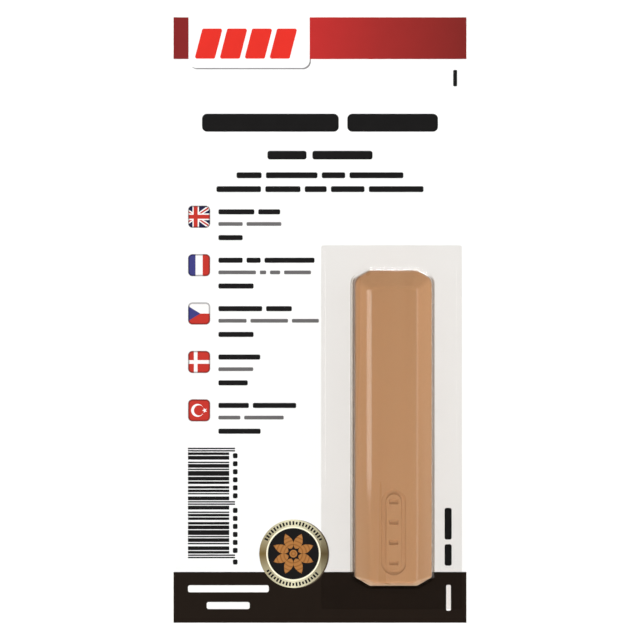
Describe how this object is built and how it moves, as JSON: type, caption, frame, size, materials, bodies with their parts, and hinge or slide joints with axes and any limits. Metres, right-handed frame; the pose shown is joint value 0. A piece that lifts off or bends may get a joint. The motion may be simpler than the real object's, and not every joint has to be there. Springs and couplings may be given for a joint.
{
  "type": "furniture repair wax stick",
  "caption": "Bevelled wax stick for filling furniture scratches, held with a small spatula on a printed upright card by a clear blister that lifts off so that the stick can be taken out.",
  "frame": {"origin": "middle of the card's back face, on which the pack lies", "axes": "+X to the card's right, +Y to its top edge, +Z out of its printed front"},
  "size_m": [0.075, 0.155, 0.0125],
  "materials": {
    "card": "white coated board, printed on its front",
    "spatula": "natural moulded plastic",
    "wax": "soft sheen of moulded tan wax",
    "blister": "clear thermoformed film"
  },
  "bodies": {
    "card": {"backing_card": "card"},
    "spatula": {"spatula": "spatula"},
    "stick": {"wax_stick": "wax"},
    "blister": {"blister_shell": "blister"}
  },
  "joints": [
    {"name": "spatula_lift", "type": "slide", "parent": "card", "child": "spatula", "axis": [0, 0, 1], "range_m": [0, 0.02]},
    {"name": "stick_lift", "type": "slide", "parent": "spatula", "child": "stick", "axis": [0, 0, 1], "range_m": [0, 0.025]},
    {"name": "blister_lift", "type": "slide", "parent": "stick", "child": "blister", "axis": [0, 0, 1], "range_m": [0, 0.03]}
  ]
}
